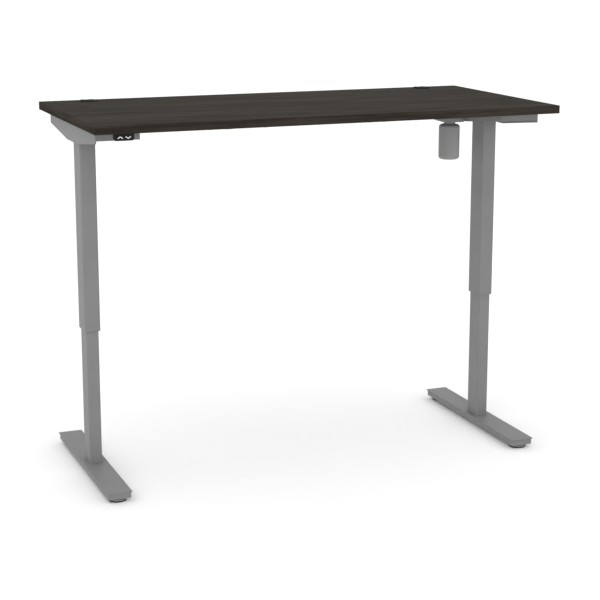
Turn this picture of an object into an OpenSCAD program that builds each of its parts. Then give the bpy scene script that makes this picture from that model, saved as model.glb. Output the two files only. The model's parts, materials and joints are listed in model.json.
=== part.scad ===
// Height-adjustable standing desk with one motor. A cross shaft under the desktop turns a
// lead screw in each of the two telescopic columns, so both columns rise together.
// It is drawn with the desktop at the top of its travel. X runs along the desktop, -Y is the
// user's side and +Z is up. The origin is on the floor, under the middle of the desktop.
// Pieces of the two legs are drawn for the right side, and mirrored for the left side.

/* [Desktop] */
// Width of the desktop, from side to side
desk_w = 1500; // [1200:10:1900]
// Depth of the desktop, from front to rear
desk_d = 725; // [580:5:900]
// Thickness of the desktop
desk_t = 25; // [20:1:35]
// Thickness of the banding on the desktop's edges
band_t = 1; // [0.5:0.5:3]
// From the desktop's side to the middle of a cable grommet
grommet_side = 152; // [140:1:200]
// From the desktop's rear edge to the middle of a cable grommet
grommet_rear = 45; // [40:1:50]
// Diameter of the hole for a cable grommet
grommet_hole_d = 54; // [40:1:60]

/* [Height] */
// Travel of the columns
travel = 425; // [300:5:520]
// Overlap of the two tubes of a column at the top of the travel
tube_overlap = 153; // [125:1:240]
// Gap between the column and the foot at the bottom of the travel
low_gap = 7; // [5:1:20]

/* [Columns] */
// From the desktop's side to the middle of the column
column_side = 62; // [50:1:66]
// Width of the upper column tube
tube_w = 50; // [46:1:62]
// Depth of the upper column tube
tube_d = 80; // [76:1:96]
// Wall of both column tubes
tube_wall = 2; // [1.5:0.5:2.5]
// Outer corner radius of the upper column tube
tube_r = 5; // [4:0.5:8]
// Space between the walls of the two tubes, which the plastic liners fill
liner_gap = 3; // [2:0.5:4]
// Running clearance between plastic liner and tube
liner_play = 0.3; // [0.2:0.05:0.6]

/* [Side brackets] */
// Width of the bracket that joins a column to the desktop
bracket_w = 133; // [120:1:145]
// From the desktop's side to the outer face of the bracket
bracket_side = 24; // [18:1:24]
// From the desktop's front edge to the bracket
bracket_front = 92.5; // [75:0.5:120]
// From the desktop's rear edge to the bracket
bracket_rear = 56.5; // [40:0.5:80]
// Sheet thickness of the bracket
sheet_t = 3; // [2:0.5:4]
// Depth of the inner plate at its ends
inner_end_h = 30; // [26:1:36]
// Depth of the inner plate below the hole for the cross shaft
inner_land = 2; // [2:0.5:8]
// Depth of the outer plate at its ends
outer_end_h = 38; // [34:1:50]
// Depth of the outer plate at the column
outer_mid_h = 65; // [56:1:75]
// Length of the inner plate's straight lower edge at the column
inner_flat = 90; // [80:5:120]
// Length of the outer plate's straight lower edge at the column
outer_flat = 130; // [90:5:160]

/* [Cross rails] */
// Distance of each cross rail from the middle of the frame
rail_y = 95; // [88:1:120]
// Width of a cross rail
rail_w = 40; // [30:1:50]
// Height of a cross rail
rail_h = 25; // [20:1:30]
// Sheet thickness of a cross rail
rail_t = 2.5; // [2:0.5:3]

/* [Feet] */
// Length of a foot, from front to rear
foot_l = 640; // [560:5:800]
// Width of the foot's top plate
foot_w = 78; // [74:1:100]
// Height of the foot's upper face above the floor
foot_h = 33; // [31:1:45]
// Thickness of the foot's top plate
foot_plate_t = 3; // [2:0.5:4]
// How far the top plate stands out past the channel under it
foot_lip = 3.5; // [1:0.5:6]
// Gap between the channel and the floor
channel_lift = 11.5; // [11:0.5:12]
// Sheet thickness of the channel
channel_t = 2.5; // [2:0.5:3]
// Diameter of a levelling glide
glide_d = 56; // [40:1:60]
// From the end of the foot to the middle of the glide
glide_end = 33; // [31:1:60]

/* [Drive] */
// Depth of the cross shaft's axis below the desktop
shaft_drop = 41; // [38:1:50]
// Size of the hexagonal cross shaft, across its corners
shaft_d = 8; // [6:0.5:9]
// Diameter of the lead screws
screw_d = 16; // [12:1:18]
// Length of the nut on a lead screw
nut_l = 40; // [30:1:50]
// Diameter of the motor cover
motor_d = 70; // [60:1:76]
// Height of the motor cover
motor_h = 117; // [90:1:150]
// Diameter of the neck above the motor
neck_d = 38; // [30:1:50]
// Height of the neck above the motor
neck_h = 9; // [5:1:20]

/* [Hand switch] */
// Width of the hand switch
switch_w = 60; // [56:1:80]
// Height of the hand switch below the desktop
switch_h = 20; // [18:1:26]
// Depth of the hand switch, from front to rear
switch_d = 55; // [40:1:60]
// Depth of the hand switch's front case
switch_case_d = 12; // [10:0.5:20]
// From the desktop's side to the middle of the hand switch
switch_side = 86; // [70:1:300]
// Travel of a button
button_travel = 1; // [0.5:0.1:1.5]

/* [Hidden] */
$fn = 64;

frame_grey = "#868584";
board_brown = "#46413c";
band_brown = "#3b352f";
plastic_black = "#1a1a1b";
liner_white = "#dcdcd6";
steel = "#a8a9aa";
cast_grey = "#77787a";
nut_brass = "#b08d57";
arrow_white = "#f2f2f2";

// Overlap of the solids in one piece, and how far a cut runs past a face
eps = 0.01;
cut = 1;

// Heights of the main levels, from the foot up to the desktop
top_margin = 12;
case_below = 24;
outer_z0 = foot_h + low_gap + travel;
inner_z1 = outer_z0 + tube_overlap;
case_z0 = inner_z1 + travel + top_margin;
shaft_z = case_z0 + case_below;
under_z = shaft_z + shaft_drop;
web_z = under_z - sheet_t;
top_z = under_z + desk_t;

// Plan positions of the frame
frame_y = (bracket_front - bracket_rear) / 2;
bracket_l = desk_d - bracket_front - bracket_rear;
column_x = desk_w / 2 - column_side;
bracket_x1 = desk_w / 2 - bracket_side;
bracket_x0 = bracket_x1 - bracket_w;
bracket_y0 = -desk_d / 2 + bracket_front;
bracket_y1 = bracket_y0 + bracket_l;

// Bevel gears: the teeth lie between two distances from where the axes cross
bevel_near = 6;
bevel_far = 12;
bevel_play = 0.3;
bevel_hub_d = 14;
bevel_hub_h = 3;
case_above = 24;
case_cavity_r = 18;
case_cavity_h = 30;
case_fit = 0.2;
shaft_play = 0.4;
shaft_end_gap = 1;
shaft_hole_r = 12;
inner_mid_h = shaft_drop + shaft_hole_r + inner_land;

// Bearing and journal at the top of a lead screw
bearing_d = 28;
bearing_h = 9;
journal_d = 12;
spigot_d = 8;
thread_gap = 1;
run_play = 0.05;

// Column tubes
inner_w = tube_w - 2 * (tube_wall + liner_gap);
inner_d = tube_d - 2 * (tube_wall + liner_gap);
corner_step = 1;
inner_r = tube_r - corner_step;
liner_h = 60;
liner_inset = 4;
slider_h = 50;
slider_drop = 2;
liner_t = liner_gap - liner_play;
block_h = 12;
screw_end = 15;
nut_flange_h = 3;
screw_z0 = inner_z1 - nut_l - screw_end;

// Feet
channel_w = foot_w - 2 * foot_lip;
channel_l = foot_l - 2 * foot_lip;
channel_z1 = foot_h - foot_plate_t;
channel_h = channel_z1 - channel_lift;
glide_y = foot_l / 2 - glide_end;
strap_l = 30;
strap_h = 8;
strap_inset = 0.5;
strap_z0 = channel_lift + strap_inset;
foot_bolt_x = 10;
foot_bolt_y = 22;
foot_bolt_d = 6;
foot_bolt_head_d = 11;
foot_bolt_head_h = 4;
foot_bolt_in = 10;
hole_play = 0.1;

// Levelling glides
pad_h = 4;
disc_h = 4.5;
disc_chamfer_h = 2.3;
disc_chamfer_w = 5;
stem_d = 8;
stem_gap = 1;
stem_top = channel_z1 - stem_gap;
pad_recess = 1;

// Grommets
grommet_x = desk_w / 2 - grommet_side;
grommet_y = desk_d / 2 - grommet_rear;
grommet_wall = 2;
flange_out = 3;
flange_h = 1.6;
cap_lap = 1;
cap_h = 2;
cap_plug_h = 9;
cap_plug_wall = 2;
cap_play = 0.4;
notch_w = 18;
notch_l = 8;

// Cross rails
rail_x1 = bracket_x0;
rail_bolt_y = 11;
rail_bolt_d = 6;
rail_nut_d = 12;
rail_nut_h = 4;
rail_bolt_out = 3;
rail_bolt_drop = 13;

// Wood screws under the desktop
wood_head_d = 9;
wood_head_h = 2.5;
wood_d = 4;
wood_in = 15;
screw_edge = 25;
screw_mid_y = 110;
rail_screw_step = 400;
web_screw_x = [screw_edge, bracket_w - screw_edge];
web_screw_y = [
    screw_edge, bracket_l / 2 - screw_mid_y, bracket_l / 2 + screw_mid_y, bracket_l - screw_edge
];
rail_screw_x = [-rail_screw_step, 0, rail_screw_step];

// Drive case and motor
drive_w = 96;
drive_d = 70;
drive_floor = 2;
drive_bottom = shaft_drop + bevel_far + bevel_hub_h + drive_floor;
drive_top = 14;
drive_chamfer_w = 30;
drive_chamfer_h = 10;
drive_floor_gap = 0.5;
drive_hub_play = 0.5;
motor_side = 36;
motor_x = bracket_x0 - motor_side;
motor_z1 = under_z - drive_bottom - neck_h;
motor_z0 = motor_z1 - motor_h;
motor_round = 10;
motor_wall = 2;
lid_h = 14;
core_gap = 4;
core_foot = 8;
core_top_gap = 6;
pinion_d = 8;
pinion_bore_play = 0.5;

// Collars on the cross shaft, as middle and width
collar_d = 18;
collars = [[-283, 6], [-221, 22], [-98, 6], [267, 6], [317, 6]];

// Control box
box_w = 220;
box_d = 90;
box_h = 28;
box_r = 4;
box_x = 50;
socket_w = 14;
socket_h = 10;
socket_deep = 12;
socket_step = 21;
sockets = 4;

// Hand switch
switch_x = -desk_w / 2 + switch_side;
switch_inset = 4.5;
switch_y0 = -desk_d / 2 + switch_inset;
switch_r = 7;
switch_body_w0 = 52;
switch_body_w1 = 22;
switch_body_h = 14;
button_w = 21;
button_h = 12;
button_r = 2.5;
button_step = 23.5;
button_drop = 10.5;
button_proud = 0.6;
button_in = 4;
button_play = 0.3;
button_floor_gap = 0.5;
arrow_w = 15;
arrow_rise = 5;
arrow_stroke = 2.1;
arrow_t = 0.3;

// ---------------------------------------------------------------- shared shapes

// The left leg is the right leg mirrored
module left() {
    mirror([1, 0, 0]) children();
}

// Moves a piece to the axis of the right column
module at_column() {
    translate([column_x, frame_y, 0]) children();
}

// Moves a piece to a glide of the right foot, at the front (-1) or the rear (1)
module at_glide(end) {
    translate([column_x, frame_y + end * glide_y, 0]) children();
}

// Rectangle with rounded corners
module round_rect(w, d, r) {
    square([w - 2 * r, d], center = true);
    square([w, d - 2 * r], center = true);
    for (sx = [-1, 1], sy = [-1, 1])
        translate([sx * (w / 2 - r), sy * (d / 2 - r)]) circle(r);
}

// Rectangular tube with rounded corners
module rect_tube(w, d, r, wall, h) {
    linear_extrude(h) difference() {
        round_rect(w, d, r);
        round_rect(w - 2 * wall, d - 2 * wall, max(r - wall, 0.5));
    }
}

// Cylinder that lies along X and starts at the origin
module x_cylinder(d, h) {
    rotate([0, 90, 0]) cylinder(d = d, h = h);
}

// Plate in the YZ plane with straight ends and a deeper middle, from x = 0 to the sheet thickness
module side_plate(end_h, mid_h, flat) {
    rotate([90, 0, 90]) linear_extrude(sheet_t) polygon([
        [bracket_y0, under_z],
        [bracket_y1, under_z],
        [bracket_y1, under_z - end_h],
        [frame_y + flat / 2, under_z - mid_h],
        [frame_y - flat / 2, under_z - mid_h],
        [bracket_y0, under_z - end_h]
    ]);
}

// Bevel gear with its axis along +Z and its axes crossing at the origin, which it points to
module bevel(bore_d, bore_fn) {
    r_far = bevel_far - bevel_play;
    r_near = bevel_near - bevel_play;
    difference() {
        union() {
            translate([0, 0, -bevel_far]) cylinder(r1 = r_far, r2 = r_near, h = bevel_far - bevel_near);
            translate([0, 0, -bevel_far - bevel_hub_h]) cylinder(d = bevel_hub_d, h = bevel_hub_h);
        }
        translate([0, 0, -bevel_far - bevel_hub_h - cut])
            cylinder(d = bore_d, h = bevel_far + bevel_hub_h, $fn = bore_fn);
    }
}

// Every wood screw's place: children are drawn at its head's lower face
module at_wood_screws() {
    for (s = [-1, 1], x = web_screw_x, y = web_screw_y)
        translate([s * (bracket_x0 + x), bracket_y0 + y, web_z - wood_head_h]) children();
    for (s = [-1, 1], x = rail_screw_x)
        translate([x, frame_y + s * rail_y, under_z - rail_t - wood_head_h]) children();
}

// Every bolt between a rail and a bracket: children are drawn on the bracket's inner face, along -X
module at_rail_bolts() {
    for (sx = [0, 1], sr = [-1, 1], sb = [-1, 1])
        mirror([sx, 0, 0])
            translate([bracket_x0 + sheet_t, frame_y + sr * rail_y + sb * rail_bolt_y,
                       under_z - rail_bolt_drop])
                rotate([0, -90, 0]) children();
}

// ---------------------------------------------------------------- desktop

module desktop_board() color(board_brown) difference() {
    translate([-desk_w / 2 + band_t, -desk_d / 2 + band_t, under_z])
        cube([desk_w - 2 * band_t, desk_d - 2 * band_t, desk_t]);
    for (s = [-1, 1])
        translate([s * grommet_x, grommet_y, under_z - cut])
            cylinder(d = grommet_hole_d, h = desk_t + 2 * cut);
    at_wood_screws() cylinder(d = wood_d + 2 * hole_play, h = wood_head_h + sheet_t + wood_in + cut);
}

module edge_bands() color(band_brown) {
    for (s = [-1, 1]) {
        translate([-desk_w / 2, s * (desk_d - band_t) / 2 - band_t / 2, under_z])
            cube([desk_w, band_t, desk_t]);
        translate([s * (desk_w - band_t) / 2 - band_t / 2, -desk_d / 2 + band_t, under_z])
            cube([band_t, desk_d - 2 * band_t, desk_t]);
    }
}

module grommet_liner() color(plastic_black) translate([grommet_x, grommet_y, 0]) difference() {
    union() {
        translate([0, 0, under_z]) cylinder(d = grommet_hole_d - 2 * hole_play, h = desk_t + eps);
        translate([0, 0, top_z]) cylinder(d = grommet_hole_d + 2 * flange_out, h = flange_h);
    }
    translate([0, 0, under_z - cut])
        cylinder(d = grommet_hole_d - 2 * grommet_wall, h = desk_t + flange_h + 2 * cut);
}

module grommet_cap() color(plastic_black) translate([grommet_x, grommet_y, 0]) difference() {
    plug_r = grommet_hole_d / 2 - grommet_wall - cap_play;
    cap_z0 = top_z + flange_h;
    union() {
        translate([0, 0, cap_z0]) cylinder(r = grommet_hole_d / 2 + cap_lap, h = cap_h);
        translate([0, 0, cap_z0 - cap_plug_h]) cylinder(r = plug_r, h = cap_plug_h + eps);
    }
    translate([0, 0, cap_z0 - cap_plug_h - cut])
        cylinder(r = plug_r - cap_plug_wall, h = cap_plug_h + cut);
    translate([-notch_w / 2, grommet_hole_d / 2 - notch_l, cap_z0 - cap_plug_h - cut])
        cube([notch_w, notch_l + cap_lap + cut, cap_plug_h + cap_h + 2 * cut]);
}

// ---------------------------------------------------------------- frame under the desktop

module bracket() color(frame_grey) difference() {
    union() {
        translate([bracket_x0, bracket_y0, web_z]) cube([bracket_w - sheet_t, bracket_l, sheet_t]);
        translate([bracket_x0, 0, 0]) side_plate(inner_end_h, inner_mid_h, inner_flat);
        for (y = [bracket_y0, bracket_y1 - sheet_t])
            translate([bracket_x0, y, under_z - inner_end_h])
                cube([bracket_w - sheet_t, sheet_t, inner_end_h]);
    }
    translate([bracket_x0 - cut, frame_y, shaft_z]) x_cylinder(2 * shaft_hole_r, sheet_t + 2 * cut);
    for (x = web_screw_x, y = web_screw_y)
        translate([bracket_x0 + x, bracket_y0 + y, web_z - cut])
            cylinder(d = wood_d + 2 * hole_play, h = sheet_t + 2 * cut);
    for (sr = [-1, 1], sb = [-1, 1])
        translate([bracket_x0 - cut, frame_y + sr * rail_y + sb * rail_bolt_y, under_z - rail_bolt_drop])
            x_cylinder(rail_bolt_d + 2 * hole_play, sheet_t + 2 * cut);
}

module bracket_cover() color(frame_grey)
    translate([bracket_x1 - sheet_t, 0, 0]) side_plate(outer_end_h, outer_mid_h, outer_flat);

// Channel that is open below, with an end plate at each bracket; side is -1 at the front
module rail(side) color(frame_grey) translate([0, frame_y + side * rail_y, 0]) difference() {
    translate([-rail_x1, -rail_w / 2, under_z - rail_h]) cube([2 * rail_x1, rail_w, rail_h]);
    translate([-rail_x1 + rail_t, -rail_w / 2 + rail_t, under_z - rail_h - cut])
        cube([2 * (rail_x1 - rail_t), rail_w - 2 * rail_t, rail_h - rail_t + cut]);
    for (x = rail_screw_x)
        translate([x, 0, under_z - rail_t - cut])
            cylinder(d = wood_d + 2 * hole_play, h = rail_t + 2 * cut);
    for (sx = [-1, 1], sb = [-1, 1])
        translate([sx * rail_x1 - rail_t - cut, sb * rail_bolt_y, under_z - rail_bolt_drop])
            x_cylinder(rail_bolt_d + 2 * hole_play, 2 * (rail_t + cut));
}

module top_screws() color(steel) at_wood_screws() {
    cylinder(d = wood_head_d, h = wood_head_h);
    translate([0, 0, wood_head_h - eps]) cylinder(d = wood_d, h = sheet_t + wood_in);
}

module rail_bolts() color(steel) at_rail_bolts() {
    translate([0, 0, -rail_nut_h]) cylinder(d = rail_nut_d, h = rail_nut_h, $fn = 6);
    translate([0, 0, -eps]) cylinder(d = rail_bolt_d, h = sheet_t + rail_t + rail_nut_h + rail_bolt_out);
    translate([0, 0, sheet_t + rail_t]) cylinder(d = rail_nut_d, h = rail_nut_h, $fn = 6);
}

// ---------------------------------------------------------------- columns

module outer_tube() color(frame_grey) difference() {
    at_column() translate([0, 0, outer_z0])
        rect_tube(tube_w, tube_d, tube_r, tube_wall, web_z - outer_z0);
    translate([column_x - tube_w / 2 - cut, frame_y, shaft_z])
        x_cylinder(2 * shaft_hole_r, tube_wall + 2 * cut);
}

// Plastic liner in the mouth of the upper tube
module lower_liner() color(liner_white) at_column() translate([0, 0, outer_z0 + liner_inset])
    rect_tube(inner_w + 2 * liner_gap, inner_d + 2 * liner_gap, tube_r - tube_wall, liner_t, liner_h);

// Lower tube, with a solid block at its foot that takes the foot bolts
module inner_tube() color(frame_grey) at_column() difference() {
    translate([0, 0, foot_h]) union() {
        rect_tube(inner_w, inner_d, inner_r, tube_wall, inner_z1 - foot_h);
        translate([-inner_w / 2 + tube_wall / 2, -inner_d / 2 + tube_wall / 2, 0])
            cube([inner_w - tube_wall, inner_d - tube_wall, block_h]);
    }
    for (sx = [-1, 1], sy = [-1, 1])
        translate([sx * foot_bolt_x, sy * foot_bolt_y, foot_h - cut])
            cylinder(d = foot_bolt_d + 2 * hole_play, h = foot_bolt_in + 2 * cut);
}

// Plastic slider round the head of the lower tube
module upper_slider() color(liner_white) at_column() translate([0, 0, inner_z1 - slider_h - slider_drop])
    rect_tube(inner_w + 2 * liner_t, inner_d + 2 * liner_t, inner_r + liner_t, liner_t, slider_h);

// ---------------------------------------------------------------- feet

module foot_plate() color(frame_grey) at_column() difference() {
    translate([-foot_w / 2, -foot_l / 2, channel_z1]) cube([foot_w, foot_l, foot_plate_t]);
    for (sx = [-1, 1], sy = [-1, 1])
        translate([sx * foot_bolt_x, sy * foot_bolt_y, channel_z1 - cut])
            cylinder(d = foot_bolt_d + 2 * hole_play, h = foot_plate_t + 2 * cut);
}

// Frame of sheet under the top plate, with a threaded strap for each glide
module foot_channel() color(frame_grey) {
    at_column() difference() {
        translate([-channel_w / 2, -channel_l / 2, channel_lift])
            cube([channel_w, channel_l, channel_h]);
        translate([-channel_w / 2 + channel_t, -channel_l / 2 + channel_t, channel_lift - cut])
            cube([channel_w - 2 * channel_t, channel_l - 2 * channel_t, channel_h + 2 * cut]);
    }
    for (end = [-1, 1]) at_glide(end) difference() {
        translate([-channel_w / 2 + channel_t / 2, -strap_l / 2, strap_z0])
            cube([channel_w - channel_t, strap_l, strap_h]);
        translate([0, 0, strap_z0 - cut]) cylinder(d = stem_d + 2 * run_play, h = strap_h + 2 * cut);
    }
}

module foot_bolts() color(steel) at_column()
    for (sx = [-1, 1], sy = [-1, 1])
        translate([sx * foot_bolt_x, sy * foot_bolt_y, channel_z1 - foot_bolt_head_h]) {
            cylinder(d = foot_bolt_head_d, h = foot_bolt_head_h);
            translate([0, 0, foot_bolt_head_h - eps])
                cylinder(d = foot_bolt_d, h = foot_plate_t + foot_bolt_in);
        }

// Steel disc with its threaded stem
module glide_stem(end) color(frame_grey) at_glide(end) {
    translate([0, 0, pad_h]) cylinder(d = glide_d, h = disc_h);
    translate([0, 0, pad_h + disc_h])
        cylinder(d1 = glide_d, d2 = glide_d - 2 * disc_chamfer_w, h = disc_chamfer_h);
    translate([0, 0, pad_h + disc_h]) cylinder(d = stem_d, h = stem_top - pad_h - disc_h);
}

module glide_pad(end) color(plastic_black) at_glide(end)
    cylinder(d = glide_d - 2 * pad_recess, h = pad_h);

// ---------------------------------------------------------------- lifting gear

// Casting in the head of the upper tube
module gear_case() color(cast_grey) at_column() difference() {
    translate([0, 0, case_z0]) linear_extrude(case_below + case_above) round_rect(
        tube_w - 2 * (tube_wall + case_fit), tube_d - 2 * (tube_wall + case_fit), tube_r - tube_wall);
    translate([0, 0, shaft_z - case_cavity_h / 2]) cylinder(r = case_cavity_r, h = case_cavity_h);
    translate([0, 0, case_z0 - cut])
        cylinder(d = bearing_d, h = case_below - case_cavity_h / 2 + 2 * cut);
    translate([-tube_w / 2, 0, shaft_z]) x_cylinder(shaft_d + 2 * shaft_play, tube_w / 2);
}

module screw_bearing() color(steel) at_column() translate([0, 0, case_z0]) difference() {
    cylinder(d = bearing_d, h = bearing_h);
    translate([0, 0, -cut]) cylinder(d = journal_d + 2 * run_play, h = bearing_h + 2 * cut);
}

// Screw with a bearing journal above its thread
module lead_screw() color(steel) at_column() {
    hub_z = shaft_z - bevel_far - bevel_hub_h;
    thread_z1 = case_z0 - thread_gap;
    translate([0, 0, screw_z0]) cylinder(d = screw_d, h = thread_z1 - screw_z0);
    translate([0, 0, thread_z1 - eps]) cylinder(d = journal_d, h = hub_z - thread_z1 + eps);
    translate([0, 0, hub_z - eps]) cylinder(d = spigot_d, h = bevel_far - bevel_near + bevel_hub_h);
}

module screw_bevel() color(steel) at_column() translate([0, 0, shaft_z])
    bevel(spigot_d + 2 * hole_play, $fn);

// Nut with a flange that sits on the end of the lower tube
module screw_nut() color(nut_brass) at_column() difference() {
    body_h = nut_l - nut_flange_h;
    union() {
        translate([0, 0, inner_z1]) linear_extrude(nut_flange_h) round_rect(inner_w, inner_d, inner_r);
        translate([0, 0, inner_z1 - body_h]) linear_extrude(body_h + eps) round_rect(
            inner_w - 2 * (tube_wall + hole_play), inner_d - 2 * (tube_wall + hole_play),
            inner_r - tube_wall);
    }
    translate([0, 0, inner_z1 - body_h - cut]) cylinder(d = screw_d + 2 * run_play, h = nut_l + 2 * cut);
}

module drive_shaft() color(steel) {
    reach = column_x - bevel_near - shaft_end_gap;
    translate([-reach, frame_y, shaft_z]) rotate([0, 90, 0])
        cylinder(d = shaft_d, h = 2 * reach, $fn = 6);
}

module shaft_collars() color(steel)
    for (c = collars)
        translate([c[0] - c[1] / 2, frame_y, shaft_z]) rotate([0, 90, 0]) difference() {
            cylinder(d = collar_d, h = c[1]);
            translate([0, 0, -cut]) cylinder(d = shaft_d + 2 * hole_play, h = c[1] + 2 * cut, $fn = 6);
        }

// Bevel gears on the cross shaft: one at each column and one at the motor
module shaft_bevels() color(steel) {
    for (sx = [0, 1])
        mirror([sx, 0, 0]) translate([column_x, frame_y, shaft_z]) rotate([0, 90, 0])
            bevel(shaft_d + 2 * hole_play, 6);
    translate([motor_x, frame_y, shaft_z]) rotate([0, -90, 0]) bevel(shaft_d + 2 * hole_play, 6);
}

// ---------------------------------------------------------------- motor and control

// Casting beside the right bracket, chamfered below on its inner side
module drive_case() color(frame_grey) {
    x0 = bracket_x0 - drive_w;
    z0 = under_z - drive_bottom;
    difference() {
        translate([0, frame_y + drive_d / 2, 0]) rotate([90, 0, 0]) linear_extrude(drive_d) polygon([
            [x0, under_z - drive_top],
            [bracket_x0, under_z - drive_top],
            [bracket_x0, z0],
            [x0 + drive_chamfer_w, z0],
            [x0, z0 + drive_chamfer_h]
        ]);
        translate([motor_x, frame_y, shaft_z - bevel_far - drive_floor_gap])
            cylinder(r = case_cavity_r, h = bevel_far + case_cavity_h / 2);
        translate([x0 - cut, frame_y, shaft_z]) x_cylinder(shaft_d + 2 * shaft_play, drive_w + 2 * cut);
        translate([motor_x, frame_y, z0 - cut])
            cylinder(d = bevel_hub_d + 2 * drive_hub_play, h = drive_chamfer_h);
    }
}

// Half of the section of a can with its lower corner rounded
module can_section(r, h, round) {
    square([r - round, h]);
    translate([0, round]) square([r, h - round]);
    translate([r - round, round]) intersection() {
        circle(round);
        translate([0, -round]) square(round);
    }
}

// Wall of a can: the outer section without the inner one
module can_wall(r, h) {
    difference() {
        can_section(r, h, motor_round);
        translate([0, motor_wall]) can_section(r - motor_wall, h, motor_round - motor_wall);
    }
}

module motor_lid() color(frame_grey) translate([motor_x, frame_y, motor_z1]) difference() {
    union() {
        mirror([0, 0, 1]) rotate_extrude() can_wall(motor_d / 2, lid_h);
        translate([0, 0, -motor_wall / 2]) cylinder(d = neck_d, h = neck_h + motor_wall / 2);
    }
    translate([0, 0, -lid_h]) cylinder(d = pinion_d + 2 * pinion_bore_play, h = lid_h + neck_h + cut);
}

module motor_cover() color(frame_grey) translate([motor_x, frame_y, motor_z0])
    rotate_extrude() can_wall(motor_d / 2, motor_h - lid_h - hole_play);

// Sealed motor with its reduction gear
module motor_core() color(steel) translate([motor_x, frame_y, 0]) {
    core_z0 = motor_z0 + motor_wall;
    core_d = motor_d - 2 * (motor_wall + core_gap);
    translate([0, 0, core_z0]) cylinder(d = core_d - 2 * core_foot, h = core_foot + eps);
    translate([0, 0, core_z0 + core_foot])
        cylinder(d = core_d, h = motor_z1 - core_top_gap - motor_wall - core_z0 - core_foot);
}

module motor_pinion() color(steel) translate([motor_x, frame_y, 0]) {
    shaft_z0 = motor_z1 - core_top_gap;
    translate([0, 0, shaft_z0])
        cylinder(d = pinion_d, h = shaft_z - bevel_near - shaft_end_gap - shaft_z0);
    translate([0, 0, shaft_z]) bevel(pinion_d - eps, $fn);
}

// Electronics box, with sockets in its left end
module control_box() color(plastic_black) difference() {
    translate([box_x, frame_y, under_z - box_h]) linear_extrude(box_h) round_rect(box_w, box_d, box_r);
    for (i = [0:sockets - 1])
        translate([box_x - box_w / 2 - cut,
                   frame_y + (i - (sockets - 1) / 2) * socket_step - socket_w / 2,
                   under_z - (box_h + socket_h) / 2])
            cube([socket_deep + cut, socket_w, socket_h]);
}

// Front view of the hand switch: square above, where it meets the desktop, and rounded below
module switch_outline() {
    translate([-switch_w / 2, -switch_h + switch_r]) square([switch_w, switch_h - switch_r]);
    translate([-switch_w / 2 + switch_r, -switch_h]) square([switch_w - 2 * switch_r, switch_h]);
    for (s = [-1, 1])
        translate([s * (switch_w / 2 - switch_r), -switch_h + switch_r]) circle(switch_r);
}

// Moves a front view to a button, up (-1) or down (1), with its depth running into the switch
module at_button(side, y) {
    translate([switch_x + side * button_step / 2, y, under_z - button_drop]) rotate([90, 0, 0])
        mirror([0, 0, 1]) children();
}

// Case with the two buttons' pockets, and a body behind it that narrows to the rear
module hand_switch() color(plastic_black) difference() {
    union() {
        translate([switch_x, switch_y0, under_z]) rotate([90, 0, 0]) mirror([0, 0, 1])
            linear_extrude(switch_case_d) switch_outline();
        translate([switch_x, switch_y0, under_z - switch_body_h]) linear_extrude(switch_body_h) polygon([
            [-switch_body_w0 / 2, switch_case_d - eps],
            [switch_body_w0 / 2, switch_case_d - eps],
            [switch_body_w1 / 2, switch_d],
            [-switch_body_w1 / 2, switch_d]
        ]);
    }
    for (side = [-1, 1]) at_button(side, switch_y0 - cut)
        linear_extrude(cut + button_in + button_travel + button_floor_gap)
            round_rect(button_w + 2 * button_play, button_h + 2 * button_play, button_r);
}

module button(side) color(plastic_black) at_button(side, switch_y0 - button_proud)
    linear_extrude(button_proud + button_in) round_rect(button_w, button_h, button_r);

// Chevron on a button that points up (-1) or down (1)
module arrow(side) color(arrow_white) at_button(side, switch_y0 - button_proud - arrow_t)
    scale([1, -side, 1]) translate([0, -arrow_rise / 2]) linear_extrude(arrow_t) polygon([
        [-arrow_w / 2, -arrow_stroke / 2],
        [0, arrow_rise - arrow_stroke / 2],
        [arrow_w / 2, -arrow_stroke / 2],
        [arrow_w / 2, arrow_stroke / 2],
        [0, arrow_rise + arrow_stroke / 2],
        [-arrow_w / 2, arrow_stroke / 2]
    ]);

// ---------------------------------------------------------------- the desk

desktop_board();
edge_bands();
left() grommet_liner();  // grommet_liner_left
grommet_liner();  // grommet_liner_right
left() grommet_cap();  // grommet_cap_left
grommet_cap();  // grommet_cap_right
left() bracket();  // bracket_left
bracket();  // bracket_right
left() bracket_cover();  // bracket_cover_left
bracket_cover();  // bracket_cover_right
rail(-1);  // rail_front
rail(1);  // rail_rear
left() outer_tube();  // outer_tube_left
outer_tube();  // outer_tube_right
left() lower_liner();  // lower_liner_left
lower_liner();  // lower_liner_right
left() inner_tube();  // inner_tube_left
inner_tube();  // inner_tube_right
left() upper_slider();  // upper_slider_left
upper_slider();  // upper_slider_right
left() foot_plate();  // foot_plate_left
foot_plate();  // foot_plate_right
left() foot_channel();  // foot_channel_left
foot_channel();  // foot_channel_right
left() foot_bolts();  // foot_bolts_left
foot_bolts();  // foot_bolts_right
left() glide_stem(-1);  // glide_stem_front_left
glide_stem(-1);  // glide_stem_front_right
left() glide_stem(1);  // glide_stem_rear_left
glide_stem(1);  // glide_stem_rear_right
left() glide_pad(-1);  // glide_pad_front_left
glide_pad(-1);  // glide_pad_front_right
left() glide_pad(1);  // glide_pad_rear_left
glide_pad(1);  // glide_pad_rear_right
left() gear_case();  // gear_case_left
gear_case();  // gear_case_right
left() screw_bearing();  // screw_bearing_left
screw_bearing();  // screw_bearing_right
left() lead_screw();  // lead_screw_left
lead_screw();  // lead_screw_right
left() screw_bevel();  // screw_bevel_left
screw_bevel();  // screw_bevel_right
left() screw_nut();  // screw_nut_left
screw_nut();  // screw_nut_right
drive_shaft();
shaft_collars();
shaft_bevels();
drive_case();
motor_lid();
motor_cover();
motor_core();
motor_pinion();
control_box();
hand_switch();
button(-1);  // up_button
button(1);  // down_button
arrow(-1);  // up_arrow
arrow(1);  // down_arrow
top_screws();
rail_bolts();
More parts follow.
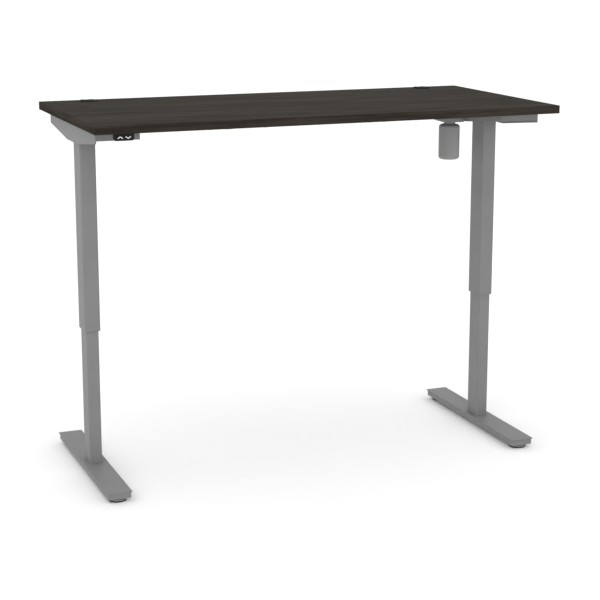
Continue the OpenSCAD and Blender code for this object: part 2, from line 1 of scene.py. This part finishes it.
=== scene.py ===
"""Looks of a height-adjustable desk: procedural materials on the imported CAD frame, small turned and
pressed details, a pale floor, soft light and the camera.

Everything is in metres, in the frame's axes. The positions of the details come from the CAD nodes."""

import json
import math

import bmesh
import bpy
from mathutils import Matrix, Vector


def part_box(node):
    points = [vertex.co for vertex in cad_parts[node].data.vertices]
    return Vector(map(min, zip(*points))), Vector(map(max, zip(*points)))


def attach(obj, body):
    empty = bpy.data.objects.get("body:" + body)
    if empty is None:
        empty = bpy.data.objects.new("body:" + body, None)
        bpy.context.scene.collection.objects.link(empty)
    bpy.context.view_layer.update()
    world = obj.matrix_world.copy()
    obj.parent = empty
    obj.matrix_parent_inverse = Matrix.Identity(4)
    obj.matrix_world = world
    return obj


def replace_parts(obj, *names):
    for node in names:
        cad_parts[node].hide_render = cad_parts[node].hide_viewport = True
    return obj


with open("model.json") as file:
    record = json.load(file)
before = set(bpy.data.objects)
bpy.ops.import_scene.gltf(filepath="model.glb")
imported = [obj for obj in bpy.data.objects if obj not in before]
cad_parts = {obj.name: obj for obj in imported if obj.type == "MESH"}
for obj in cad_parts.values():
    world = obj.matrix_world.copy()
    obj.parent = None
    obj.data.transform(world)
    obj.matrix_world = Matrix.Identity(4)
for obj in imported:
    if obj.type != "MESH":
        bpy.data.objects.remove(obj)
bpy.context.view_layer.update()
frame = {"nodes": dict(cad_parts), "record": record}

nodes = frame["nodes"]
record = frame["record"]
scene = bpy.context.scene
MM = 0.001

# Camera: it stands at a place and looks back along an azimuth, from an elevation above the horizon
CAMERA_PLACE = Vector((-1.810, -4.595, 1.666))
CAMERA_AZIMUTH = -21.64
CAMERA_ELEVATION = 12.16
LENS_MM = 92.93
SENSOR_MM = 36.0
SHIFT_Y = -0.05

# Lights face the middle of the desk. Each softbox has a name, a place, a size and a power in watts
LIT_POINT = Vector((0.0, 0.0, 0.7))
WORLD_STRENGTH = 1.18
SOFTBOXES = [
    ("key", (-2.2, -3.6, 3.2), 2.5, 14),
    ("fill_left", (-2.8, -3.2, 0.6), 2.0, 10),
    ("fill_right", (2.4, -3.4, 0.7), 2.0, 8),
]
FLOOR_HALF = 60.0

# Linear colours of the finishes
GREY_PAINT = (0.198, 0.198, 0.197)
BOARD_DARK = (0.0335, 0.0297, 0.0255)
BOARD_LIGHT = (0.0495, 0.0443, 0.0386)
BAND_DARK = (0.0235, 0.0196, 0.0158)
BAND_LIGHT = (0.0390, 0.0330, 0.0270)
BLACK_PLASTIC = (0.0105, 0.0104, 0.0102)
BLACK_RUBBER = (0.005, 0.005, 0.005)
WHITE_PRINT = (0.86, 0.86, 0.85)
ACETAL = (0.68, 0.68, 0.65)
ZINC = (0.48, 0.48, 0.49)
CAST_ALUMINIUM = (0.30, 0.30, 0.31)
BRASS = (0.62, 0.43, 0.18)
FLOOR_DARK = (0.94, 0.94, 0.94)
FLOOR_LIGHT = (0.96, 0.96, 0.96)

# Depths of the finishes' relief
PEEL_DEPTH = 0.06 * MM
PORE_DEPTH = 0.05 * MM
MOULD_DEPTH = 0.05 * MM
DRAWN_DEPTH = 0.04 * MM
CAST_DEPTH = 0.15 * MM

# Broken edges: buttons, mouldings, bent sheet and the drive case
BUTTON_EDGE = 0.3 * MM
MOULDED_EDGE = 0.6 * MM
SHEET_EDGE = 0.8 * MM
CASE_EDGE = 1.5 * MM
EDGE_SEGMENTS = 3
EDGE_ANGLE = math.radians(40)
WELD_DISTANCE = 0.01 * MM

# Turned pieces: sides of the small and the larger ones, and the angle where their shading breaks
SCREW_SIDES = 32
BOLT_SIDES = 48
DISC_SIDES = 64
SHARP_ANGLE = math.radians(35)
SAME_POINT = 0.001 * MM

# Fasteners and glides. A bolt's flat face and its chamfer are shares of its width across corners
THREAD_STEPS = 6
WOOD_HEAD_H = 2.5 * MM
WOOD_SHANK_R = 2 * MM
WOOD_POINT = 5 * MM
BOLT_HEAD_H = 4 * MM
BOLT_OUT = 3 * MM
BOLT_R = 3 * MM
BOLT_FACE = 0.40
BOLT_CHAMFER = 0.435
BOLT_THREAD_DEPTH = 0.45 * MM
BOLT_PITCH = 1 * MM
BOLT_TIP = 0.6 * MM
GLIDE_EDGE_H = 4.5 * MM
GLIDE_TOP_H = 6.8 * MM
GLIDE_CHAMFER = 5 * MM
GLIDE_COLLAR_R = 7 * MM
GLIDE_STEM_R = 4 * MM
GLIDE_THREAD_DEPTH = 0.6 * MM
GLIDE_PITCH = 1.25 * MM

# Ribs and screws on the control box
RIBS = 13
RIB_STEP = 12 * MM
RIB_L = 62 * MM
RIB_W = 4 * MM
RIB_H = 1.2 * MM
RIB_SUNK = 0.5 * MM
BOX_SCREW_INSET = 8 * MM
BOX_SCREW_R = 3 * MM
BOX_SCREW_H = 1.8 * MM


# ---------------------------------------------------------------- material helpers

def new_material(name, roughness, metallic=0.0, specular=0.5):
    """Material with a Principled shader. Returns the material, its node tree and the shader."""
    material = bpy.data.materials.new(name)
    material.use_nodes = True
    tree = material.node_tree
    shader = tree.nodes["Principled BSDF"]
    shader.inputs["Roughness"].default_value = roughness
    shader.inputs["Metallic"].default_value = metallic
    shader.inputs["Specular IOR Level"].default_value = specular
    return material, tree, shader


def place_coordinates(tree, stretch=(1, 1, 1)):
    """Position on the object, in metres, scaled along each axis."""
    position = tree.nodes.new("ShaderNodeTexCoord")
    mapping = tree.nodes.new("ShaderNodeMapping")
    mapping.inputs["Scale"].default_value = stretch
    tree.links.new(position.outputs["Object"], mapping.inputs["Vector"])
    return mapping.outputs["Vector"]


def noise(tree, vector, scale, detail=3.0, roughness=0.5, distortion=0.0):
    """Smooth noise from 0 to 1. The scale is in cells to the metre."""
    node = tree.nodes.new("ShaderNodeTexNoise")
    node.inputs["Scale"].default_value = scale
    node.inputs["Detail"].default_value = detail
    node.inputs["Roughness"].default_value = roughness
    node.inputs["Distortion"].default_value = distortion
    tree.links.new(vector, node.inputs["Vector"])
    return node.outputs["Fac"]


def colour_ramp(tree, factor, stops):
    """Colours along a factor. Each stop is a position and a linear colour."""
    node = tree.nodes.new("ShaderNodeValToRGB")
    tree.links.new(factor, node.inputs["Fac"])
    elements = node.color_ramp.elements
    while len(elements) < len(stops):
        elements.new(0.5)
    for element, (position, colour) in zip(elements, stops):
        element.position = position
        element.color = (*colour, 1.0)
    return node.outputs["Color"]


def to_range(tree, factor, low, high, start=0.0, end=1.0):
    """Takes the factor from the range start to end to the range low to high, and holds it there."""
    node = tree.nodes.new("ShaderNodeMapRange")
    node.inputs["From Min"].default_value = start
    node.inputs["From Max"].default_value = end
    node.inputs["To Min"].default_value = low
    node.inputs["To Max"].default_value = high
    tree.links.new(factor, node.inputs["Value"])
    return node.outputs["Result"]


def math_node(tree, operation, a, b):
    """Sum, product or other operation on two sockets or numbers."""
    node = tree.nodes.new("ShaderNodeMath")
    node.operation = operation
    for socket, value in zip(node.inputs, (a, b)):
        if isinstance(value, (int, float)):
            socket.default_value = value
        else:
            tree.links.new(value, socket)
    return node.outputs["Value"]


def blend_factors(tree, first, second, share):
    """Weighted mean of two factors. The share is the second one's weight."""
    return math_node(
        tree,
        "ADD",
        math_node(tree, "MULTIPLY", first, 1 - share),
        math_node(tree, "MULTIPLY", second, share),
    )


def add_bump(tree, shader, height, depth):
    """Relief of a depth in metres on the shader."""
    node = tree.nodes.new("ShaderNodeBump")
    node.inputs["Distance"].default_value = depth
    tree.links.new(height, node.inputs["Height"])
    tree.links.new(node.outputs["Normal"], shader.inputs["Normal"])


def tint(colour, factor):
    """The colour, made lighter or darker."""
    return tuple(channel * factor for channel in colour)


# ---------------------------------------------------------------- materials

def powder_coat(name, colour):
    """Satin powder coat: fine orange peel, with slight unevenness in colour and gloss."""
    material, tree, shader = new_material(name, 0.5, specular=0.12)
    place = place_coordinates(tree)
    cloud = noise(tree, place, scale=9, detail=2)
    speckle = noise(tree, place, scale=1400, detail=2)
    mixed = blend_factors(tree, cloud, speckle, share=0.4)
    stops = [(0.3, tint(colour, 0.93)), (0.5, colour), (0.7, tint(colour, 1.06))]
    tree.links.new(colour_ramp(tree, mixed, stops), shader.inputs["Base Color"])
    tree.links.new(to_range(tree, cloud, low=0.44, high=0.56), shader.inputs["Roughness"])
    peel = noise(tree, place, scale=900, detail=2)
    add_bump(tree, shader, peel, PEEL_DEPTH)
    return material


def wood_grain(name, dark, light, along, specular):
    """Printed wood grain on melamine: broad bands, streaks and fine dark pores. It runs along the axes
    where along is True."""
    material, tree, shader = new_material(name, 0.8, specular=specular)

    def layer(length, scale, detail):
        """Noise that is drawn out along the grain, to a length in cells' widths."""
        stretch = tuple(1 / length if runs else 1 for runs in along)
        place = place_coordinates(tree, stretch)
        return noise(tree, place, scale, detail, roughness=0.62, distortion=0.25)

    bands = layer(length=7, scale=8, detail=2)
    streaks = layer(length=18, scale=75, detail=5)
    pores = layer(length=30, scale=620, detail=2)
    dips = to_range(tree, pores, low=0.10, high=0.0, start=0.30, end=0.46)
    grain = math_node(tree, "SUBTRACT", blend_factors(tree, bands, streaks, share=0.6), dips)
    middle = tuple((a + b) / 2 for a, b in zip(dark, light))
    stops = [
        (0.34, tint(dark, 0.8)),
        (0.42, dark),
        (0.49, middle),
        (0.57, light),
        (0.66, tint(light, 1.1)),
    ]
    tree.links.new(colour_ramp(tree, grain, stops), shader.inputs["Base Color"])
    tree.links.new(to_range(tree, pores, low=0.86, high=0.74), shader.inputs["Roughness"])
    add_bump(tree, shader, pores, PORE_DEPTH)
    return material


def moulded_plastic(name, colour, roughness, texture_scale=1800, specular=0.25):
    """Moulded plastic or rubber with a fine spark-eroded texture."""
    material, tree, shader = new_material(name, roughness, specular=specular)
    place = place_coordinates(tree)
    cloud = noise(tree, place, scale=40, detail=2)
    texture = noise(tree, place, texture_scale, detail=2)
    stops = [(0.35, tint(colour, 0.85)), (0.65, tint(colour, 1.2))]
    tree.links.new(colour_ramp(tree, cloud, stops), shader.inputs["Base Color"])
    gloss = to_range(tree, cloud, roughness - 0.06, roughness + 0.06)
    tree.links.new(gloss, shader.inputs["Roughness"])
    add_bump(tree, shader, texture, MOULD_DEPTH)
    return material


def drawn_metal(name, colour, roughness, stretch=(1, 1, 1)):
    """Bare or plated metal with fine drawing marks across the stretched axes."""
    material, tree, shader = new_material(name, roughness, metallic=1.0)
    marks = noise(tree, place_coordinates(tree, stretch), scale=260, roughness=0.6)
    cloud = noise(tree, place_coordinates(tree), scale=45)
    stops = [(0.3, tint(colour, 0.82)), (0.55, colour), (0.75, tint(colour, 1.12))]
    tree.links.new(colour_ramp(tree, cloud, stops), shader.inputs["Base Color"])
    gloss = to_range(tree, marks, roughness - 0.1, roughness + 0.12)
    tree.links.new(gloss, shader.inputs["Roughness"])
    add_bump(tree, shader, marks, DRAWN_DEPTH)
    return material


def cast_metal(name, colour):
    """Unpainted die casting: mottled, with a coarse skin."""
    material, tree, shader = new_material(name, 0.55, metallic=1.0)
    skin = noise(tree, place_coordinates(tree), scale=420, detail=4, roughness=0.65)
    stops = [(0.35, tint(colour, 0.8)), (0.65, tint(colour, 1.15))]
    tree.links.new(colour_ramp(tree, skin, stops), shader.inputs["Base Color"])
    tree.links.new(to_range(tree, skin, low=0.45, high=0.65), shader.inputs["Roughness"])
    add_bump(tree, shader, skin, CAST_DEPTH)
    return material


def pale_floor(name):
    """Seamless white studio floor with the faintest mottle."""
    material, tree, shader = new_material(name, 0.9, specular=0.1)
    cloud = noise(tree, place_coordinates(tree), scale=0.8, detail=2)
    stops = [(0.3, FLOOR_DARK), (0.7, FLOOR_LIGHT)]
    tree.links.new(colour_ramp(tree, cloud, stops), shader.inputs["Base Color"])
    return material


# ---------------------------------------------------------------- finishing the CAD nodes

def finish_nodes(material, names, edge=0.0):
    """Gives CAD nodes a material and, where edge is above 0, breaks their sharp edges by that much."""
    for name in names:
        node = nodes[name]
        node.data.materials.clear()
        node.data.materials.append(material)
        if edge > 0:
            soften(node, edge)


def soften(piece, width):
    """Small rounding on every sharp edge, with modifiers only."""
    weld = piece.modifiers.new("join_corners", "WELD")
    weld.merge_threshold = WELD_DISTANCE
    bevel = piece.modifiers.new("edges", "BEVEL")
    bevel.width = width
    bevel.segments = EDGE_SEGMENTS
    bevel.limit_method = "ANGLE"
    bevel.angle_limit = EDGE_ANGLE
    bevel.harden_normals = True


def pair(name):
    """The node's name on the left and on the right."""
    return [name + "_left", name + "_right"]


def glides(name):
    """The node's name at each of the four glides."""
    return pair(name + "_front") + pair(name + "_rear")


paint = powder_coat("frame_paint", GREY_PAINT)
# Painted light: the motor gets the frame's grey made 1.3 times lighter, standing in for light it lacks in
# the shade under the desktop
motor_paint = powder_coat("motor_paint", tint(GREY_PAINT, 1.3))
board = wood_grain("board_melamine", BOARD_DARK, BOARD_LIGHT, (True, False, False), specular=0.006)
band = wood_grain("band_melamine", BAND_DARK, BAND_LIGHT, (True, True, False), specular=0.022)
plastic = moulded_plastic("black_plastic", BLACK_PLASTIC, 0.6, specular=0.12)
cap_plastic = moulded_plastic("grommet_plastic", tint(BLACK_PLASTIC, 2.9), 0.85, specular=0.008)
rubber = moulded_plastic("black_rubber", BLACK_RUBBER, 0.85, texture_scale=600, specular=0.02)
acetal = moulded_plastic("acetal", ACETAL, 0.42)
print_white = moulded_plastic("white_print", WHITE_PRINT, 0.6)
zinc = drawn_metal("zinc_plate", ZINC, 0.34)
ground_steel = drawn_metal("ground_steel", tint(ZINC, 0.9), 0.28, (1, 1, 12))
casting = cast_metal("casting", CAST_ALUMINIUM)
brass = drawn_metal("brass", BRASS, 0.3, (1, 1, 10))

finish_nodes(board, ["desktop_board"])
finish_nodes(band, ["edge_bands"], edge=SHEET_EDGE)
finish_nodes(paint, pair("bracket") + pair("bracket_cover") + ["rail_front", "rail_rear"], edge=SHEET_EDGE)
finish_nodes(paint, pair("foot_plate") + pair("foot_channel"), edge=SHEET_EDGE)
finish_nodes(paint, pair("outer_tube") + pair("inner_tube"))
finish_nodes(paint, ["drive_case"], edge=CASE_EDGE)
finish_nodes(motor_paint, ["motor_lid", "motor_cover"])
finish_nodes(cap_plastic, pair("grommet_liner"))
finish_nodes(cap_plastic, pair("grommet_cap"), edge=MOULDED_EDGE)
finish_nodes(plastic, ["hand_switch", "control_box"], edge=MOULDED_EDGE)
finish_nodes(plastic, ["up_button", "down_button"], edge=BUTTON_EDGE)
finish_nodes(print_white, ["up_arrow", "down_arrow"])
finish_nodes(acetal, pair("lower_liner") + pair("upper_slider"))
finish_nodes(rubber, glides("glide_pad"))
finish_nodes(casting, pair("gear_case"))
finish_nodes(brass, pair("screw_nut"))
finish_nodes(ground_steel, pair("lead_screw") + pair("screw_bearing") + pair("screw_bevel"))
finish_nodes(ground_steel, ["drive_shaft", "shaft_bevels", "motor_pinion"])
finish_nodes(zinc, ["shaft_collars", "motor_core"])


# ---------------------------------------------------------------- outlines of turned pieces

def circle(radius):
    """Outline of one radius all round. An outline gives a radius for an angle."""
    return lambda angle: radius


def hexagon(across_corners):
    """Outline of a hexagon with a corner at angle 0."""
    apothem = across_corners / 2 * math.cos(math.pi / 6)
    return lambda angle: apothem / math.cos(angle % (math.pi / 3) - math.pi / 6)


def cut_down(outline, most):
    """The outline, nowhere further out than a radius, as on the chamfer of a bolt head."""
    return lambda angle: min(outline(angle), most)


def cross(reach, half_width):
    """Outline of a cross recess."""
    def radius(angle):
        across = max(abs(math.cos(angle)), 1e-6)
        up = max(abs(math.sin(angle)), 1e-6)
        return max(min(reach / across, half_width / up), min(reach / up, half_width / across))
    return radius


def stadium(half_length, half_width):
    """Outline of a bar along Y with round ends."""
    straight = half_length - half_width

    def radius(angle):
        across = abs(math.cos(angle))
        along = abs(math.sin(angle))
        if across * straight >= along * half_width:
            return half_width / across
        return straight * along + math.sqrt(half_width ** 2 - (straight * across) ** 2)
    return radius


def thread(height, radius, depth, pitch):
    """Outline of a screw thread at a height, with its crests at the radius."""
    def at(angle):
        turn = (height / pitch - angle / (2 * math.pi)) % 1.0
        return radius - depth * abs(2 * turn - 1)
    return at


def thread_rings(start, end, radius, depth, pitch):
    """Rings of a thread from one height to another, run out at both ends."""
    steps = round((end - start) / pitch * THREAD_STEPS)
    heights = [start + (end - start) * i / steps for i in range(steps + 1)]
    core = circle(radius - depth)
    inner = [(height, thread(height, radius, depth, pitch)) for height in heights[1:-1]]
    return [(start, core)] + inner + [(end, core)]


# ---------------------------------------------------------------- turned pieces

def solids_of(name):
    """Lowest and highest corner of each separate solid in a CAD node, from left to right."""
    mesh = bmesh.new()
    mesh.from_mesh(nodes[name].data)
    bmesh.ops.remove_doubles(mesh, verts=mesh.verts, dist=SAME_POINT)
    boxes = []
    for start in mesh.verts:
        if start.tag:
            continue
        start.tag = True
        solid = [start]
        for vertex in solid:
            for edge in vertex.link_edges:
                other = edge.other_vert(vertex)
                if not other.tag:
                    other.tag = True
                    solid.append(other)
        corners = [[pick(v.co[axis] for v in solid) for axis in range(3)] for pick in (min, max)]
        boxes.append((Vector(corners[0]), Vector(corners[1])))
    mesh.free()
    return sorted(boxes, key=lambda box: tuple(box[0]))


def add_turned(mesh, rings, place, sides):
    """Closed skin through rings, which run up the piece's own Z. Each ring is a height and an outline."""
    loops = []
    for height, outline in rings:
        angles = [2 * math.pi * i / sides for i in range(sides)]
        points = [(outline(a) * math.cos(a), outline(a) * math.sin(a), height) for a in angles]
        loops.append([mesh.verts.new(place @ Vector(point)) for point in points])
    for lower, upper in zip(loops, loops[1:]):
        for i in range(sides):
            j = (i + 1) % sides
            mesh.faces.new((lower[i], lower[j], upper[j], upper[i]))
    mesh.faces.new(reversed(loops[0]))
    mesh.faces.new(loops[-1])


def trim(name, mesh, node, material):
    """Makes a piece of a mesh, on a CAD node's body and with its material slot."""
    data = bpy.data.meshes.new(name)
    mesh.to_mesh(data)
    mesh.free()
    data.polygons.foreach_set("use_smooth", [True] * len(data.polygons))
    data.set_sharp_from_angle(angle=SHARP_ANGLE)
    data.materials.append(material)
    piece = bpy.data.objects.new(name, data)
    scene.collection.objects.link(piece)
    bodies = record["behaviour"]["bodies"]
    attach(piece, next(body for body, members in bodies.items() if node in members))
    return piece


def stand_for(name, mesh, node, material):
    """Makes a piece of a mesh that stands for a CAD node."""
    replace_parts(trim(name, mesh, node, material), node)


def middle_below(box):
    """Middle of a box's lower face, as a move there from the origin."""
    low, high = box
    return Matrix.Translation(((low.x + high.x) / 2, (low.y + high.y) / 2, low.z))


def pan_head(radius, height):
    """Rings of a pan head with a cross recess, from the recess's floor to the head's seat."""
    return [
        (0.65 * height, cross(0.25 * radius, 0.08 * radius)),
        (0.0, cross(0.56 * radius, 0.14 * radius)),
        (0.0, circle(0.68 * radius)),
        (0.12 * height, circle(0.88 * radius)),
        (0.40 * height, circle(0.98 * radius)),
        (0.75 * height, circle(radius)),
        (height, circle(0.96 * radius)),
    ]


def wood_screws():
    """Pan-head screws with a cross recess, driven up into the board."""
    mesh = bmesh.new()
    for box in solids_of("top_screws"):
        head = (box[1].x - box[0].x) / 2
        length = box[1].z - box[0].z
        add_turned(mesh, [
            *pan_head(head, WOOD_HEAD_H),
            (WOOD_HEAD_H, circle(WOOD_SHANK_R)),
            (length - WOOD_POINT, circle(WOOD_SHANK_R)),
            (length, circle(0.15 * WOOD_SHANK_R)),
        ], middle_below(box), SCREW_SIDES)
    stand_for("wood_screws", mesh, "top_screws", zinc)


def rail_fasteners():
    """Hexagon bolts with their nuts, across the joint of rail and bracket."""
    mesh = bmesh.new()
    for low, high in solids_of("rail_bolts"):
        corners = high.z - low.z
        length = high.x - low.x
        side = 1 if low.x > 0 else -1
        head_x = high.x if side > 0 else low.x
        turn = Matrix(((0, 0, -side), (0, side, 0), (1, 0, 0))).to_4x4()
        place = Matrix.Translation((head_x, (low.y + high.y) / 2, (low.z + high.z) / 2)) @ turn
        flats = hexagon(corners)
        face = circle(BOLT_FACE * corners)
        chamfer = cut_down(flats, BOLT_CHAMFER * corners)
        nut = length - BOLT_OUT - BOLT_HEAD_H
        add_turned(mesh, [
            (0.0, face),
            (0.0, chamfer),
            (0.15 * BOLT_HEAD_H, flats),
            (BOLT_HEAD_H, flats),
            (BOLT_HEAD_H, circle(BOLT_R)),
            (nut, circle(BOLT_R)),
            (nut, flats),
            (nut + 0.85 * BOLT_HEAD_H, flats),
            (nut + BOLT_HEAD_H, chamfer),
            (nut + BOLT_HEAD_H, face),
            *thread_rings(
                nut + BOLT_HEAD_H, length - BOLT_TIP, BOLT_R, BOLT_THREAD_DEPTH, BOLT_PITCH
            ),
            (length, circle(0.75 * BOLT_R)),
        ], place, BOLT_SIDES)
    stand_for("rail_fasteners", mesh, "rail_bolts", zinc)


def foot_screws(side):
    """Button-head screws with a hexagon socket, up through the foot into the column."""
    mesh = bmesh.new()
    for box in solids_of("foot_bolts_" + side):
        head = (box[1].x - box[0].x) / 2
        length = box[1].z - box[0].z
        socket = hexagon(0.86 * head)
        add_turned(mesh, [
            (0.55 * BOLT_HEAD_H, socket),
            (0.0, socket),
            (0.0, circle(0.60 * head)),
            (0.12 * BOLT_HEAD_H, circle(0.80 * head)),
            (0.40 * BOLT_HEAD_H, circle(0.96 * head)),
            (0.80 * BOLT_HEAD_H, circle(head)),
            (BOLT_HEAD_H, circle(0.97 * head)),
            (BOLT_HEAD_H, circle(BOLT_R - BOLT_THREAD_DEPTH)),
            *thread_rings(
                BOLT_HEAD_H + BOLT_PITCH, length - BOLT_TIP, BOLT_R, BOLT_THREAD_DEPTH, BOLT_PITCH
            ),
            (length, circle(0.75 * BOLT_R)),
        ], middle_below(box), BOLT_SIDES)
    stand_for("foot_screws_" + side, mesh, "foot_bolts_" + side, zinc)


def glide_disc(place_name):
    """Pressed disc with rounded edges and a threaded stem."""
    node = "glide_stem_" + place_name
    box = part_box(node)
    low, high = Vector(box[0]), Vector(box[1])
    rim = (high.x - low.x) / 2
    length = high.z - low.z
    mesh = bmesh.new()
    add_turned(mesh, [
        (0.0, circle(rim - 0.6 * MM)),
        (0.2 * MM, circle(rim - 0.2 * MM)),
        (0.6 * MM, circle(rim)),
        (GLIDE_EDGE_H - 0.4 * MM, circle(rim)),
        (GLIDE_EDGE_H, circle(rim - 0.3 * MM)),
        (GLIDE_TOP_H - 0.2 * MM, circle(rim - GLIDE_CHAMFER + 0.3 * MM)),
        (GLIDE_TOP_H, circle(rim - GLIDE_CHAMFER - 0.3 * MM)),
        (GLIDE_TOP_H - 0.5 * MM, circle(0.5 * rim)),
        (GLIDE_TOP_H - 0.5 * MM, circle(GLIDE_COLLAR_R)),
        (GLIDE_TOP_H + 0.3 * MM, circle(GLIDE_COLLAR_R - 0.5 * MM)),
        (GLIDE_TOP_H + 0.3 * MM, circle(GLIDE_STEM_R - GLIDE_THREAD_DEPTH)),
        *thread_rings(
            GLIDE_TOP_H + GLIDE_PITCH, length - MM, GLIDE_STEM_R, GLIDE_THREAD_DEPTH, GLIDE_PITCH
        ),
        (length, circle(0.7 * GLIDE_STEM_R)),
    ], middle_below((low, high)), DISC_SIDES)
    stand_for("glide_disc_" + place_name, mesh, node, paint)


def box_ribs():
    """Cooling ribs on the lower face of the control box, rounded at their ends and edges."""
    low, high = (Vector(corner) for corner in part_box("control_box"))
    middle = (low + high) / 2
    mesh = bmesh.new()
    for i in range(RIBS):
        x = middle.x + (i - (RIBS - 1) / 2) * RIB_STEP
        place = Matrix.Translation((x, middle.y, low.z + RIB_SUNK))
        add_turned(mesh, [
            (-RIB_SUNK - RIB_H, stadium(RIB_L / 2 - RIB_H, RIB_W / 2 - 0.6 * RIB_H)),
            (-RIB_SUNK - 0.5 * RIB_H, stadium(RIB_L / 2 - 0.3 * RIB_H, RIB_W / 2 - 0.15 * RIB_H)),
            (-RIB_SUNK, stadium(RIB_L / 2, RIB_W / 2)),
            (0.0, stadium(RIB_L / 2, RIB_W / 2)),
        ], place, DISC_SIDES)
    trim("control_box_ribs", mesh, "control_box", plastic)


def box_screws():
    """Pan-head screws at the corners of the control box's lower face."""
    low, high = (Vector(corner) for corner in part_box("control_box"))
    mesh = bmesh.new()
    for x in (low.x + BOX_SCREW_INSET, high.x - BOX_SCREW_INSET):
        for y in (low.y + BOX_SCREW_INSET, high.y - BOX_SCREW_INSET):
            place = Matrix.Translation((x, y, low.z - BOX_SCREW_H))
            shank_end = (1.5 * BOX_SCREW_H, circle(BOX_SCREW_R / 2))
            add_turned(mesh, [*pan_head(BOX_SCREW_R, BOX_SCREW_H), shank_end], place, SCREW_SIDES)
    trim("control_box_screws", mesh, "control_box", zinc)


wood_screws()
rail_fasteners()
box_ribs()
box_screws()
for leg_side in ("left", "right"):
    foot_screws(leg_side)
    for foot_end in ("front", "rear"):
        glide_disc(foot_end + "_" + leg_side)


# ---------------------------------------------------------------- stage

def add_floor():
    """Wide pale floor under the pads."""
    mesh = bpy.data.meshes.new("floor")
    corners = [(x * FLOOR_HALF, y * FLOOR_HALF, 0) for x, y in ((-1, -1), (1, -1), (1, 1), (-1, 1))]
    mesh.from_pydata(corners, [], [(0, 1, 2, 3)])
    floor = bpy.data.objects.new("floor", mesh)
    mesh.materials.append(pale_floor("floor"))
    scene.collection.objects.link(floor)


def add_softbox(name, place, size, power):
    """Square area light that faces the middle of the desk."""
    light = bpy.data.lights.new(name, "AREA")
    light.shape = "SQUARE"
    light.size = size
    light.energy = power
    holder = bpy.data.objects.new(name, light)
    holder.location = place
    holder.rotation_euler = (LIT_POINT - Vector(place)).to_track_quat("-Z", "Y").to_euler()
    scene.collection.objects.link(holder)


def add_world(strength):
    """Even white surroundings."""
    world = bpy.data.worlds.new("studio")
    world.use_nodes = True
    background = world.node_tree.nodes["Background"]
    background.inputs["Color"].default_value = (1, 1, 1, 1)
    background.inputs["Strength"].default_value = strength
    scene.world = world


def add_camera():
    """Camera at the place, angle and lens of the view that the desk is shown in."""
    azimuth = math.radians(CAMERA_AZIMUTH)
    elevation = math.radians(CAMERA_ELEVATION)
    away = Vector((
        math.sin(azimuth) * math.cos(elevation),
        -math.cos(azimuth) * math.cos(elevation),
        math.sin(elevation),
    ))
    camera = bpy.data.cameras.new("camera")
    camera.lens = LENS_MM
    camera.sensor_width = SENSOR_MM
    camera.shift_y = SHIFT_Y
    camera.clip_end = 300
    holder = bpy.data.objects.new("camera", camera)
    holder.location = CAMERA_PLACE
    holder.rotation_euler = (-away).to_track_quat("-Z", "Y").to_euler()
    scene.collection.objects.link(holder)
    scene.camera = holder


scene.view_settings.view_transform = "Standard"
add_floor()
add_world(WORLD_STRENGTH)
for softbox in SOFTBOXES:
    add_softbox(*softbox)
add_camera()

bpy.context.view_layer.update()
